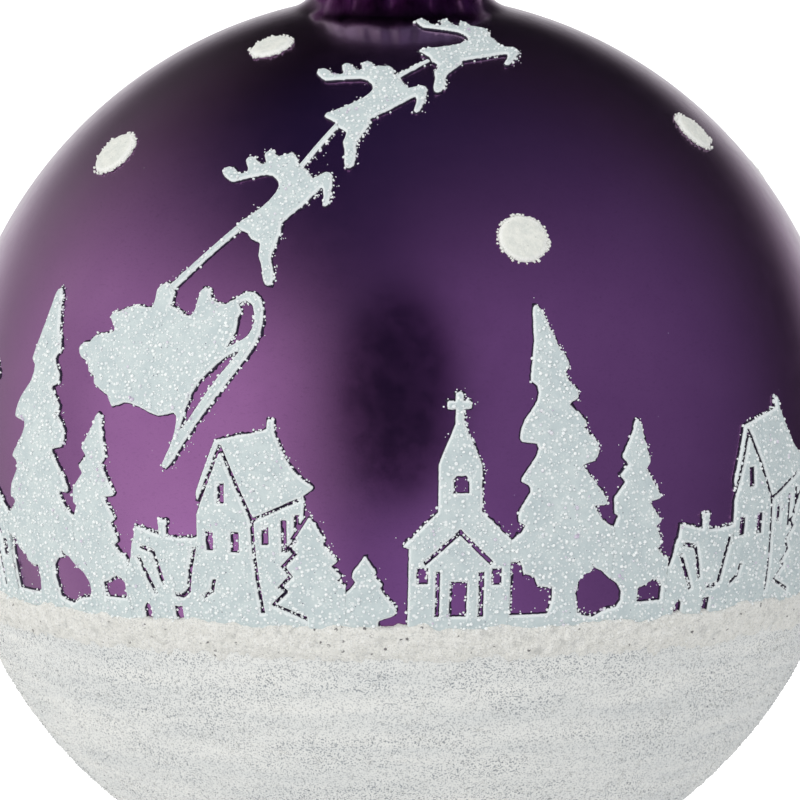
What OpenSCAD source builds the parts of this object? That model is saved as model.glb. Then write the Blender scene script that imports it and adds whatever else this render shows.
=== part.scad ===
// Hanging glass ball ornament with a raised glitter frieze.
// A blown, silvered and lacquered glass ball carries a village, a sleigh with
// three reindeer, snow spots, a snow bank and a snow coat. A stamped cap and a
// sprung wire hanger close its neck.
// Millimetres, +Z up. The origin is where a hook bears inside the hanger's eye.

/* [Ball] */
// Outer radius of the lacquered ball
ball_r = 50; // [40:1:60]
// Wall of the blown glass
glass_t = 1.0; // [0.7:0.1:1.5]
// Thickness that stands for the lacquer film
lacquer_t = 0.2; // [0.15:0.05:0.3]
// Thickness that stands for the silvering film
lining_t = 0.2; // [0.15:0.05:0.3]
// Gap that keeps one bonded layer off the next
film_gap = 0.05; // [0.02:0.01:0.1]

/* [Neck] */
// Outer radius of the glass neck
neck_r = 8.5; // [7:0.1:11]
// Radius of the flare between the ball and its neck
neck_flare = 5; // [4:0.5:8]
// Straight length of the neck above the flare
neck_straight = 4; // [3:0.5:8]

/* [Cap] */
// Sheet thickness of the stamped cap
cap_t = 0.35; // [0.25:0.05:0.6]
// Clearance all round between the cap and the neck
cap_clear = 0.4; // [0.3:0.05:0.6]
// Height of the flared hem below the fluted skirt
hem_h = 1.4; // [1:0.1:1.8]
// How far the hem flares outwards
hem_flare = 1.4; // [1:0.1:2]
// Number of flutes round the skirt
flute_count = 24; // [16:1:32]
// Radius of one flute
flute_r = 0.4; // [0.3:0.05:0.6]
// Number of scallops cut in the hem
scallop_count = 12; // [8:1:16]

/* [Hanger] */
// Diameter of the hanger wire
wire_d = 0.9; // [0.7:0.1:1.2]
// Radius of the eye, to the middle of the wire
eye_r = 4; // [3.5:0.1:5]
// Height of the eye's straight sides, which is the cap's travel
eye_rise = 2.5; // [2:0.1:4]
// Clearance round the wire in the cap's holes
wire_clear = 0.25; // [0.15:0.05:0.4]
// Clearance between a bowed leg and the bore of the neck
leg_clear = 0.3; // [0.2:0.05:0.5]
// Length of a leg below the neck's flare
leg_drop = 17; // [12:1:22]

/* [Decoration] */
// Thickness of the glitter prints
print_t = 0.45; // [0.3:0.05:0.7]
// Thickness of the snow spots
dot_t = 0.4; // [0.3:0.05:0.6]
// Thickness of the snow bank
bank_t = 0.85; // [0.6:0.05:1.2]
// Thickness of the fine snow coat
coat_t = 0.35; // [0.25:0.05:0.6]
// Latitude of the top of the snow bank, in degrees
bank_top_lat = -16.3; // [-18:0.1:-15]
// Latitude of the bottom of the snow bank, in degrees
bank_low_lat = -19.3; // [-24:0.1:-19]
// Width of the dark line between the tall house and the small tree
tree_line = 0.45; // [0.3:0.05:0.7]

/* [Hidden] */
$fn = 96;

wire_r = wire_d / 2;
glass_r = ball_r - lacquer_t - film_gap;
flare_z = sqrt(pow(glass_r + neck_flare, 2) - pow(neck_r + neck_flare, 2));
neck_top = flare_z + neck_straight;
bore_r = neck_r - glass_t;

// The cap sits on the rim of the neck, and its hem ends above the flare.
cap_in = neck_r + lacquer_t + film_gap + cap_clear;
cap_out = cap_in + cap_t;
plate_z = neck_top + cap_clear - 0.1;
cap_top = plate_z + cap_t;
skirt_low = flare_z - 0.6;
hem_low = skirt_low - hem_h;

// The eye's round starts above its straight sides.
eye_z = cap_top + eye_rise;
hook_z = eye_z + eye_r - wire_r;
bow_x = bore_r - leg_clear - wire_r;
bow_z = flare_z - 3;
tip_z = bow_z - leg_drop;
tip_x = bow_x - 1.5;
knee_z = neck_top - 1;
bend_reach = 1.2;
wire_sides = 12;

// The frieze is drawn for a ball of this radius and grows with the ball.
drawn_r = 50;
k = ball_r / drawn_r;
repeats = 5;
step = 360 / repeats;
bank_top = ball_r * sin(bank_top_lat);
bank_low = ball_r * sin(bank_low_lat);

// Meridians where one print ends and the next begins, in degrees
church_end = 13.7;
big_tree_end = 27.3;
medium_tree_end = 35.5;
cottage_end = 46.1;
small_tree_end = 65.2;

// Outlines, in millimetres east and north of each print's own centre
church_outline = [
    [-5.6, -16], [-5.6, -4], [-6.3, -3.8], [-2.5, 0], [-2.4, 5.2], [-1.9, 6.4],
    [-0.5, 9.5], [-0.45, 11], [-1.3, 11], [-1.4, 11.4], [-1.3, 11.85],
    [-0.45, 11.85], [-0.4, 12.6], [0, 12.9], [0.4, 12.6], [0.4, 11.85],
    [1.2, 11.85], [1.3, 11.4], [1.2, 11], [0.4, 11], [0.4, 9.5], [1.7, 6.5],
    [2.3, 5], [2.2, 0], [6, -3.7], [6, -16]];
church_bell_window = [
    [-0.9, 2.05], [0.9, 2.05], [0.9, 3.5], [0.5, 4], [-0.4, 4], [-0.9, 3.5]];

big_tree_outline = [
    [-1.2, 18.3], [-0.8, 18.1], [-0.2, 16.7], [0.9, 13.7], [1.7, 12.5],
    [1.7, 11.5], [1.2, 10.8], [2.5, 9.2], [2.4, 8.2], [1.5, 7.7], [3.3, 5.9],
    [3, 5], [4.6, 3.3], [4.2, 1.5], [2.7, 1.1], [4.1, -0.8], [5.5, -2.8],
    [5.2, -3.4], [4, -3.4], [5.1, -5], [6.6, -6], [9, -7], [9, -20],
    [-9, -20], [-9, -6.8], [-5.5, -6.8], [-3.9, -5.2], [-4.7, -4.8],
    [-4.5, -3.3], [-3.4, -1.6], [-3.6, -0.8], [-4.4, -0.4], [-4.1, 0.3],
    [-2.6, 2.4], [-2.5, 3.6], [-4.2, 3.9], [-4.3, 4.8], [-3.7, 6.3],
    [-2.2, 8.2], [-2, 9.8], [-2.7, 10.4], [-2.4, 12.2], [-1.9, 14.6],
    [-1.6, 17.8]];
church_gap = [
    [-5.4, -9.1], [-4.4, -9], [-3.9, -10.4], [-2.7, -10.8], [-2.3, -11.8],
    [-0.6, -12], [-0.5, -13.3], [-0.9, -15], [-5.2, -15]];

medium_tree_outline = [
    [0, 10.9], [0.4, 10.4], [0.7, 8.6], [1.4, 6.2], [0.8, 5.4], [2.8, 2.2],
    [1.2, 1.9], [2.8, -0.4], [2.1, -0.9], [3.1, -2.8], [2.4, -3.3],
    [3.4, -4.4], [6, -4.4], [6, -14], [-9, -14], [-9, -0.4], [-3.2, -0.4],
    [-2.8, 0.6], [-3.7, 1.2], [-3.7, 2.1], [-1.9, 4.3], [-2.5, 5],
    [-1.4, 6.1], [-2.2, 7], [-0.6, 9.8], [-0.4, 10.6]];
tree_gap = [
    [-7.1, -6.5], [-6.4, -5.6], [-5.8, -5.5], [-5.6, -4.5], [-5.3, -5],
    [-4.5, -5.3], [-3.6, -6.1], [-2.4, -6.9], [-1.8, -7.8], [-1.7, -8.8],
    [-2.2, -9.6], [-3.8, -10], [-4.9, -10.6], [-5.9, -10.4], [-6.8, -10],
    [-7.3, -7.8]];
arch_gap = [
    [0.2, -7.5], [0.4, -9.2], [3.4, -9.2], [3.4, -7.5], [3, -6.9],
    [2.4, -6.7], [1.8, -6.9], [1.2, -7.3]];

cottage_outline = [
    [-3, 2.6], [-2.4, 2.5], [0.2, 1.8], [0.2, 2.9], [0.1, 3], [0.1, 3.5],
    [1.2, 3.5], [1.2, 3], [1.1, 2.9], [1.1, 1.7], [2.5, 1.6], [5.2, 1.8],
    [8, 1.8], [8, -12], [-8, -12], [-8, -2], [-4.1, -2], [-3.7, -0.9],
    [-3.4, 0.8], [-3.1, 1.1]];
cottage_window = [
    [-2.7, -8.2], [-2.6, -6.6], [-2.1, -5.9], [-1.7, -6.3], [-1.6, -8.2]];

house_outline = [
    [-3.9, 9], [1.95, 10.3], [1.95, 11.4], [2.65, 11.4], [2.7, 10.2],
    [3.9, 7.7], [5, 6.1], [6.1, 5.1], [7.3, 4.4], [7.2, 4.1], [6.2, 3.4],
    [6.2, -6], [9, -9], [9, -14], [-9, -14], [-9, -1.7], [-6, -1.7],
    [-6, 1.4], [-6.4, 1.2], [-6.75, 1.5], [-4.1, 8.8]];

small_tree_top = [
    [-1.9, 6.5], [-1.5, 5.8], [-0.3, 4], [-0.5, 3.4], [1.1, 1.6],
    [0.4, 1], [1.5, -0.2], [1, -0.5], [3, -2.2], [3, -4.4],
    [-2.4, -4.8], [-5.7, -3.5], [-4.2, -2], [-4.9, -1.5], [-3.8, -0.3],
    [-4.6, 0.8], [-3.2, 2.3], [-3.9, 2.9], [-3.2, 3.7], [-3.5, 4]];
small_tree_foot = [[-2.4, -4.8], [-2.4, -8], [3, -8], [3, -4.4]];
tiny_tree_outline = [
    [4.1, 2.3], [4.4, 1.7], [5.2, 0.4], [5, -0.1], [5.9, -1], [5.6, -1.5],
    [6.2, -2.4], [7.3, -3.9], [7, -4.6], [5.3, -5.2], [5, -8],
    [-1, -8], [-1, -2.2], [1.6, -2.2], [2.3, -1.6], [3, -0.7],
    [2.6, -0.2], [2.8, 0.5], [3.4, 1.3]];

// Curved outlines are drawn as smooth closed curves through these points.
sleigh_outline = [
    [-12.7, 2.3], [-12.2, 2.9], [-11.3, 2.9], [-10.6, 3.8], [-8.5, 4.1],
    [-8, 4.6], [-8.9, 5.8], [-8.6, 6.4], [-7.4, 6.6], [-6, 7.3], [-3.5, 7.2],
    [-3.4, 9.2], [-2.7, 9.8], [-1.8, 9.9], [-1, 9], [-1.2, 7.5], [0.2, 7.1],
    [0.7, 6.6], [1.6, 6.6], [2, 7.4], [2.1, 9.3], [2.7, 9.8], [3.4, 9.4],
    [3.6, 8.6], [5.2, 8.1], [6.2, 8.6], [7.9, 9.8], [9.5, 8.8], [10.1, 6.5],
    [9.8, 4.2], [8.2, 1.1], [4.6, -4.4], [1.2, -9.7], [0.6, -10.1],
    [0.2, -9.7], [1.2, -7.6], [1.7, -5.2], [1.3, -4.1], [-0.6, -4.6],
    [-3.4, -3.7], [-5.2, -3.4], [-6.9, -3.9], [-7.7, -2.7], [-9.7, -1.6],
    [-9.9, -0.7], [-10.8, -0.2], [-11.1, 0.8], [-12.2, 1.3]];
sleigh_curl_gap = [
    [7, 8.3], [7.8, 8.8], [8.6, 8.3], [9.2, 6.6], [8.8, 5], [7.8, 4.2],
    [6.6, 3.5], [7.3, 5.2], [7.2, 6.8], [7.5, 7.5]];
runner_gap = [
    [8.1, 3.1], [6.8, 2.5], [4.4, 0.1], [3.2, -2], [2.3, -5.1],
    [2.6, -5.6], [4.8, -2], [6.5, 0.7]];
reindeer_outline = [
    [-5.4, 6.2], [-4.9, 6.8], [-4.2, 6.6], [-3.4, 5.6], [-2.5, 5.6],
    [-2.4, 6.2], [-2.7, 7.3], [-2, 7.7], [-1, 6.4], [-0.3, 6.5],
    [-0.6, 7.7], [0.3, 8], [1, 7.1], [2.5, 7.3], [3.1, 6.6], [3.3, 5.4],
    [4.2, 4.8], [5.1, 3.5], [6.3, 4.2], [7.1, 3.8], [7.1, 1.6],
    [6.7, -0.2], [6.2, -0.1], [6.3, 1.2], [6.1, 2.2], [5.4, 1.6],
    [3.6, -0.3], [1.7, -1.9], [1.6, -2.9], [0.7, -5.1], [0.5, -6.1],
    [0.7, -7.3], [0.6, -8.8], [0, -9.1], [-0.4, -8.4], [-0.6, -6.5],
    [-0.9, -5.5], [-0.7, -4], [-1.7, -3.3], [-2.1, -2.5], [-3.3, -1.7],
    [-3.3, -1.1], [-1.6, -0.2], [0.4, 1.4], [1.3, 3], [0.9, 4.1],
    [-0.2, 4.8], [-3.5, 4.6], [-4.4, 4.8]];

// Each snow spot: longitude, latitude and radius
dots = [
    [18.4, 33.2, 2.7], [-44, 66, 2.3], [-59, 43.5, 2.7], [68.5, 46.3, 2.4],
    [104, 36, 2.6], [126, 60, 2.3], [152, 40, 2.7], [-168, 64, 2.4],
    [-150, 34, 2.5], [-122, 54, 2.7], [-106, 36, 2.3]];

// A closed Catmull-Rom curve through p, with n steps between two points
function curve(p, n = 2) = [for (i = [0 : len(p) - 1]) for (j = [0 : n - 1])
    blend4(p[(i + len(p) - 1) % len(p)], p[i], p[(i + 1) % len(p)],
        p[(i + 2) % len(p)], j / n)];
function blend4(a, b, c, d, t) = 0.5 * (2 * b + (c - a) * t
    + (2 * a - 5 * b + 4 * c - d) * t * t + (3 * b - a - 3 * c + d) * t * t * t);

// The outline p, drawn clockwise, with every corner moved outwards by w
function unit(v) = v / norm(v);
function left_of(a, b) = let (d = unit(b - a)) [-d.y, d.x];
function grown(p, w) = [for (i = [0 : len(p) - 1])
    let (a = left_of(p[(i + len(p) - 1) % len(p)], p[i]),
        b = left_of(p[i], p[(i + 1) % len(p)]))
    p[i] + w * (a + b) / max(1 + a * b, 0.7)];

// Turns a print from flat to its place on the ball.
module placed(lon, lat, turn = 0) {
    rotate([0, 0, lon]) rotate([90 - lat, 0, 0]) rotate([0, 0, turn]) children();
}

// A block that stands through the skin of the ball, with a flat outline
module block() {
    translate([0, 0, ball_r * 0.82]) linear_extrude(height = ball_r * 0.25) children();
}

// The shell in which a layer of thickness t lies
module layer(t) {
    difference() {
        sphere(r = ball_r + film_gap + t);
        sphere(r = ball_r + film_gap);
    }
}

// The wedge between two meridians above the snow bank
module wedge(from, to) {
    reach = ball_r * 1.4;
    translate([0, 0, bank_top]) linear_extrude(height = ball_r)
        polygon([[0, 0], [reach * sin(from), -reach * cos(from)],
            [reach * sin(to), -reach * cos(to)]]);
}

// One print of the frieze, repeated round the ball
module frieze(from, to) {
    for (i = [0 : repeats - 1]) {
        rotate([0, 0, i * step]) intersection() {
            layer(print_t);
            wedge(from, to);
            children();
        }
    }
}

// A straight line of width w through the list of points p, with square ends
module line(p, w) {
    for (i = [0 : len(p) - 2]) {
        side = left_of(p[i], p[i + 1]) * w / 2;
        along = unit(p[i + 1] - p[i]) * w / 3;
        polygon([p[i] + side - along, p[i + 1] + side + along,
            p[i + 1] - side + along, p[i] - side - along] * k);
    }
}

module window(x, y, w, h) {
    translate([x, y] * k) square([w, h] * k);
}

module church_block() {
    placed(7.5, -1) block() difference() {
        polygon(church_outline * k);
        polygon(church_bell_window * k);
        line([[-3.9, -5.6], [-0.1, -2.2], [3.3, -5.6]], 0.5);
        window(-4.8, -7.9, 1.3, 1.8);
        window(3.35, -8.1, 1.15, 1.9);
        window(-2.75, -11.6, 0.55, 5.1);
        window(1.95, -11.7, 0.65, 5.1);
        window(-1.15, -11.6, 1.9, 4);
    }
}

module tree_gap_block() {
    placed(31, -3) block() polygon(tree_gap * k);
}

module big_tree_block() {
    difference() {
        placed(20, 3) block() difference() {
            polygon(curve(big_tree_outline) * k);
            polygon(church_gap * k);
        }
        tree_gap_block();
    }
}

module medium_tree_block() {
    difference() {
        placed(31, -3) block() difference() {
            polygon(medium_tree_outline * k);
            polygon(arch_gap * k);
        }
        tree_gap_block();
    }
}

module cottage_block() {
    placed(-31.5, -7) block() difference() {
        polygon(cottage_outline * k);
        line([[-2.2, 0.4], [-0.7, 0], [-0.2, -1.6], [0.3, -3.5]], 0.5);
        line([[-2.6, -0.9], [-0.8, -4.7]], 0.5);
        line([[4.5, 0.6], [3.9, -1.6], [3.4, -4.2], [2.7, -4.8], [1.8, -4.7]], 0.5);
        polygon(cottage_window * k);
        window(1.4, -7.7, 1, 1.7);
    }
}

module house_block() {
    placed(-19, -3) block() difference() {
        polygon(house_outline * k);
        line([[-3.4, 8.4], [-6.3, 0.8]], 0.45);
        line([[-3.3, 8.2], [0.4, 0.7], [0.6, -3.2], [1.2, -9.7]], 0.45);
        line([[0.8, 0.7], [5.6, 2.9]], 0.4);
        line([[-4.2, -6.2], [-4.5, -7.5], [-5.5, -8.2]], 0.45);
        window(-3.6, 2.25, 0.85, 2.2);
        window(-5, -3, 0.9, 2.15);
        window(-2.1, -3.05, 1, 2.25);
        window(1.5, -2.1, 0.8, 2);
        window(3.7, -2.9, 0.65, 3.6);
        window(5.1, -0.8, 0.65, 2.1);
    }
}

module small_tree_block() {
    placed(-9, -9) block() {
        polygon(small_tree_top * k);
        polygon(small_tree_foot * k);
    }
}

module reindeer_block(lon, lat, turn, size = 1) {
    placed(lon, lat, turn) block() polygon(curve(reindeer_outline) * k * size);
}

module rear_block() {
    reindeer_block(-21, 37, 12);
}

module middle_block() {
    reindeer_block(-9, 54, 0);
}

module lead_block() {
    reindeer_block(16, 66, -26, 0.96);
}

module sleigh_block() {
    placed(-31, 15) block() difference() {
        polygon(curve(sleigh_outline) * k);
        polygon(curve(sleigh_curl_gap) * k);
        polygon(curve(runner_gap) * k);
    }
}

// The solid of revolution of the glass: a ball with a flared neck
module bulb_section(r, neck, flare, top) {
    x = neck + flare;
    z = sqrt(pow(r + flare, 2) - pow(x, 2));
    foot = [x, z] * r / (r + flare);
    intersection() {
        translate([0, -2 * r]) square([2 * r, 4 * r]);
        circle(r = r, $fn = 200);
    }
    square([neck, top]);
    difference() {
        polygon([[0, 0], foot, [x, z], [0, z]]);
        translate([x, z]) circle(r = flare);
    }
}

// The hanger's path in its own plane: up one leg, round the eye and down the other
function rounded(a, b, c) = let (from = b + unit(a - b) * bend_reach,
        to = b + unit(c - b) * bend_reach)
    [for (t = [0 : 0.2 : 1]) from * (1 - t) * (1 - t) + b * 2 * t * (1 - t) + to * t * t];
leg_path = concat([[tip_x, tip_z]],
    rounded([tip_x, tip_z], [bow_x, bow_z], [eye_r, knee_z]),
    rounded([bow_x, bow_z], [eye_r, knee_z], [eye_r, eye_z]));
eye_path = [for (a = [0 : 7.5 : 180]) [eye_r * cos(a), eye_z + eye_r * sin(a)]];
hanger_path = concat(leg_path, eye_path,
    [for (i = [len(leg_path) - 1 : -1 : 0]) [-leg_path[i].x, leg_path[i].y]]);

// A round wire carried along a path in the XZ plane, with flat ends
module wire(path) {
    n = len(path);
    rings = [for (i = [0 : n - 1])
        let (out = left_of(path[max(i - 1, 0)], path[min(i + 1, n - 1)]))
        for (j = [0 : wire_sides - 1])
            let (a = j * 360 / wire_sides)
            [path[i].x + wire_r * cos(a) * out.x, wire_r * sin(a),
                path[i].y + wire_r * cos(a) * out.y]];
    walls = [for (i = [0 : n - 2]) for (j = [0 : wire_sides - 1])
        let (a = i * wire_sides, next = (j + 1) % wire_sides)
        [a + j, a + next, a + wire_sides + next, a + wire_sides + j]];
    low = [for (j = [wire_sides - 1 : -1 : 0]) j];
    high = [for (j = [0 : wire_sides - 1]) (n - 1) * wire_sides + j];
    polyhedron(points = rings, faces = concat(walls, [low, high]), convexity = 6);
}

module hanger() {
    color("silver") wire(hanger_path);
}

module cap() {
    color("silver") difference() {
        union() {
            translate([0, 0, plate_z]) cylinder(r = cap_out, h = cap_t);
            translate([0, 0, skirt_low]) linear_extrude(height = plate_z - skirt_low)
                difference() {
                    union() {
                        circle(r = cap_out);
                        for (i = [0 : flute_count - 1]) {
                            rotate(i * 360 / flute_count) translate([cap_out, 0])
                                circle(r = flute_r, $fn = 24);
                        }
                    }
                    circle(r = cap_in);
                }
            rotate_extrude() polygon([[cap_in, skirt_low], [cap_out, skirt_low],
                [cap_out + hem_flare, hem_low], [cap_in + hem_flare, hem_low]]);
        }
        for (side = [-1, 1]) {
            translate([side * eye_r, 0, plate_z - 1])
                cylinder(r = wire_r + wire_clear, h = cap_t + 2, $fn = 32);
        }
        for (i = [0 : scallop_count - 1]) {
            rotate([0, 0, (i + 0.5) * 360 / scallop_count])
                translate([cap_in, 0, hem_low - 0.4]) rotate([0, 90, 0])
                    cylinder(r = hem_h, h = 4, center = true, $fn = 32);
        }
    }
}

module glass_ball() {
    color("plum") rotate_extrude($fn = 200) difference() {
        bulb_section(glass_r, neck_r, neck_flare, neck_top);
        bulb_section(glass_r - glass_t, bore_r, neck_flare + glass_t, neck_top + 1);
    }
}

module silver_lining() {
    outer = glass_r - glass_t - film_gap;
    color("gainsboro") rotate_extrude($fn = 200) intersection() {
        difference() {
            circle(r = outer, $fn = 200);
            circle(r = outer - lining_t, $fn = 200);
        }
        translate([0, -ball_r]) square([ball_r, ball_r + outer - glass_t]);
    }
}

module lacquer_coat() {
    bare = neck_r + film_gap;
    color("rebeccapurple") rotate_extrude($fn = 200) intersection() {
        difference() {
            bulb_section(ball_r, bare + lacquer_t, neck_flare - film_gap - lacquer_t, flare_z);
            bulb_section(glass_r + film_gap, bare, neck_flare - film_gap, neck_top);
        }
        translate([0, -ball_r]) square([ball_r, ball_r + flare_z]);
    }
}

module church() {
    color("lightsteelblue") frieze(-3, church_end) church_block();
}

module big_tree() {
    color("lightsteelblue") frieze(church_end, big_tree_end) big_tree_block();
}

module medium_tree() {
    color("lightsteelblue") frieze(big_tree_end, medium_tree_end) medium_tree_block();
}

module cottage() {
    color("lightsteelblue") frieze(medium_tree_end - step, cottage_end - step)
        cottage_block();
}

module tall_house() {
    color("lightsteelblue") frieze(cottage_end - step, small_tree_end - step - 2)
        difference() {
            house_block();
            placed(-9, -9) block() {
                polygon(grown(small_tree_top, tree_line) * k);
                polygon(small_tree_foot * k);
            }
        }
}

module small_tree() {
    color("lightsteelblue") frieze(small_tree_end - step - 14, small_tree_end - step)
        small_tree_block();
}

module tiny_tree() {
    color("lightsteelblue") frieze(small_tree_end - step, 2)
        placed(-9, -9) block() polygon(tiny_tree_outline * k);
}

module sleigh() {
    color("lightsteelblue") intersection() {
        layer(print_t);
        sleigh_block();
    }
}

module rear_reindeer() {
    color("lightsteelblue") intersection() {
        layer(print_t);
        rear_block();
    }
}

module middle_reindeer() {
    color("lightsteelblue") intersection() {
        layer(print_t);
        middle_block();
    }
}

module lead_reindeer() {
    color("lightsteelblue") intersection() {
        layer(print_t);
        lead_block();
    }
}

// The reins run from the driver's hands to the rear animal, and on to each next one.
module reins() {
    color("lightsteelblue") difference() {
        intersection() {
            layer(print_t);
            union() {
                placed(-31, 15) block() line([[-1.6, 9.4], [4.4, 16.7]], 0.8);
                placed(-9, 54) block() {
                    line([[-5.6, -9.5], [-1.8, -2.8]], 0.6);
                    line([[3.4, 5], [6.5, 9]], 0.5);
                }
            }
        }
        sleigh_block();
        rear_block();
        middle_block();
        lead_block();
    }
}

module snow_dots() {
    color("ivory") for (d = dots) {
        intersection() {
            layer(dot_t);
            placed(d[0], d[1]) block() circle(r = d[2] * k, $fn = 48);
        }
    }
}

// A ring of one layer between two heights
module ring(t, low, high) {
    rotate_extrude($fn = 200) intersection() {
        difference() {
            circle(r = ball_r + film_gap + t, $fn = 200);
            circle(r = ball_r + film_gap, $fn = 200);
        }
        translate([0, low]) square([2 * ball_r, high - low]);
    }
}

module snow_bank() {
    color("linen") ring(bank_t, bank_low, bank_top);
}

module snow_coat() {
    color("gainsboro") ring(coat_t, -2 * ball_r, bank_low);
}

translate([0, 0, -hook_z]) {
    hanger();
    cap();
    glass_ball();
    silver_lining();
    lacquer_coat();
    church();
    big_tree();
    medium_tree();
    cottage();
    tall_house();
    small_tree();
    tiny_tree();
    sleigh();
    rear_reindeer();
    middle_reindeer();
    lead_reindeer();
    reins();
    snow_dots();
    snow_bank();
    snow_coat();
}
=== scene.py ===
"""Looks of a blown glass Christmas ball: mirror lacquer, a raised glitter village,
a sleigh and its team, snow paste, a stamped cap and a sprung wire hanger."""

import bpy
import numpy as np
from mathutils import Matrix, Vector


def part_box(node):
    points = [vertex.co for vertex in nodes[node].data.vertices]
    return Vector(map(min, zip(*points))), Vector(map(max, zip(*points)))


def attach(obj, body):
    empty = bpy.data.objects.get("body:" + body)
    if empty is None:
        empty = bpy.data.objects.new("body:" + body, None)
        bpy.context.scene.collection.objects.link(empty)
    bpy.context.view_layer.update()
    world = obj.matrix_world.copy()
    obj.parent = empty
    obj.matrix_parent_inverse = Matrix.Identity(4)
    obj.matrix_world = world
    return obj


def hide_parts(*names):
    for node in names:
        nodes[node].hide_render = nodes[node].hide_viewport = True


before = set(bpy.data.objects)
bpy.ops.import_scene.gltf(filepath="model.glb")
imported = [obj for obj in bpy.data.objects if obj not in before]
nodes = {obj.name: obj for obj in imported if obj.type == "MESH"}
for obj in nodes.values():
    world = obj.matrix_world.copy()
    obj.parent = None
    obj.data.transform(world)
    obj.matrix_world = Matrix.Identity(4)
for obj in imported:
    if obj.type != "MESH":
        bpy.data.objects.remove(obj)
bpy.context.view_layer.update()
scene = bpy.context.scene

# ---------------- sizes, in mm

MM = 0.001
ball_low, ball_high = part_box("lacquer_coat")
CENTRE_Z = ball_low.z + round((ball_high.x - ball_low.x) / 2, 4)
BALL = round((ball_high.x - ball_low.x) / 2 / MM, 1)
UP = np.array([0.0, 0.0, CENTRE_Z / MM])

# Thicknesses, and how deep the hidden undersides lie in the lacquer.
FILM_GAP = 0.05
PRINT_T = 0.45
DOT_T = 0.4
BANK_T = 0.85
COAT_T = 0.35
SUNK = 0.02
SNOW_SUNK = 0.05
LACQUER_T = 0.2
GLASS_T = 1.0
GLASS = BALL - LACQUER_T - FILM_GAP
NECK = 8.5
FLARE = 5.0
FLARE_Z = np.sqrt((GLASS + FLARE) ** 2 - (NECK + FLARE) ** 2)
NECK_TOP = FLARE_Z + 4

# The paste's glue line shows round each print, wider along edges that came out rough,
# and its edge is a quarter round. The prints' grid and the beads' have these steps.
# The glue line's dark colour in the paste's finish is painted contact shade.
GLUE_W = 0.11
ROUGH_W = 0.16
GLUE_H = 0.03
SHOULDER = 0.3
STEP = 0.17
BEAD_CELL = 0.74

# The village repeats every fifth of a turn, and its prints meet at these meridians.
REPEATS = 5
PITCH = 360 / REPEATS
SPLITS = (13.7, 27.3, 35.5, 46.1, 65.2)
VILLAGE = ("church", "big_tree", "medium_tree", "cottage", "tall_house", "small_tree",
           "tiny_tree")
TEAM = ("sleigh", "rear_reindeer", "middle_reindeer", "lead_reindeer", "reins")

# The snow bank lies between these latitudes.
BANK_TOP_LAT = -16.3
BANK_LOW_LAT = -19.3
BANK_TOP_Z = BALL * np.sin(np.radians(BANK_TOP_LAT))

# The cap: its heights follow the neck's. The last four are its fold's radius, how high
# its plate is stamped, and the radii of the stamped ring and of the ring of petals.
CAP_CLEAR = 0.4
CAP_IN = NECK + LACQUER_T + FILM_GAP + CAP_CLEAR
CAP_T = 0.35
CAP_OUT = CAP_IN + CAP_T
CAP_TOP = NECK_TOP + 0.3 + CAP_T
SKIRT_LOW = FLARE_Z - 0.6
HEM_H = 1.4
HEM_FLARE = 1.4
FLUTES = 24
FLUTE_H = 0.4
SCALLOPS = 12
FOLD_R = 0.8
STAMP_H = 0.16
RING_R = 7.3
PETAL_R = 6.1

# The hanger: the radii of its wire, eye and bends, and its corners as (out, up) pairs.
WIRE = 0.45
EYE = 4.0
EYE_Z = CAP_TOP + 2.5
KNEE = (EYE, NECK_TOP - 1)
BOW = (NECK - GLASS_T - 0.3 - WIRE, FLARE_Z - 3)
TIP = (BOW[0] - 1.5, BOW[1] - 17)
BEND = 1.2

# The camera: its lens in mm, how far it stands from the ball's middle and how far above
# the line to it, in m, and how it is tilted.
CAMERA_LENS = 559.8
CAMERA_AWAY = 1.38
CAMERA_RISE = 0.0049
CAMERA_TILT = np.radians(7.19)
BACK = np.array([0.0, -np.cos(CAMERA_TILT), np.sin(CAMERA_TILT)])
ABOVE = np.array([0.0, np.sin(CAMERA_TILT), np.cos(CAMERA_TILT)])


# ---------------- mesh helpers

def unit(vectors):
    """The vectors, each made one long."""
    return vectors / np.linalg.norm(vectors, axis=-1, keepdims=True)


def full_turn(count):
    """Angles evenly round a full turn."""
    return np.linspace(0, 2 * np.pi, count, endpoint=False)


def arc(start, stop, count):
    """Points of a circle of radius 1 in a plane, from one angle to another."""
    angle = np.linspace(start, stop, count)[:, None]
    return np.hstack([np.cos(angle), np.sin(angle)])


def polar(radius, angle, height):
    """Points at these radii, angles and heights about Z."""
    return np.stack([radius * np.cos(angle), radius * np.sin(angle), height + 0 * angle], -1)


def in_scene(name, data):
    """A new object at the origin, put into the scene."""
    made = bpy.data.objects.new(name, data)
    scene.collection.objects.link(made)
    return made


def piece(name, points, faces, body, slot, material, replaced=(), **values):
    """A smooth mesh from points in mm about the ball's centre and arrays of faces."""
    mesh = bpy.data.meshes.new(name)
    corners = np.concatenate([f.ravel() for f in faces]).astype(np.int32)
    sizes = np.concatenate([np.full(len(f), f.shape[1]) for f in faces])
    starts = np.concatenate([[0], np.cumsum(sizes)[:-1]]).astype(np.int32)
    mesh.vertices.add(len(points))
    mesh.vertices.foreach_set("co", ((points + UP) * MM).astype(np.float32).ravel())
    mesh.loops.add(len(corners))
    mesh.loops.foreach_set("vertex_index", corners)
    mesh.polygons.add(len(sizes))
    mesh.polygons.foreach_set("loop_start", starts)
    mesh.polygons.foreach_set("use_smooth", np.ones(len(sizes), bool))
    for key, numbers in values.items():
        layer = mesh.attributes.new(key, "FLOAT", "POINT")
        layer.data.foreach_set("value", numbers.astype(np.float32))
    mesh.update(calc_edges=True)
    mesh.materials.append(material)
    made = in_scene(name, mesh)
    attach(made, body)
    if replaced:
        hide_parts(*replaced)
    return made


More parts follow.
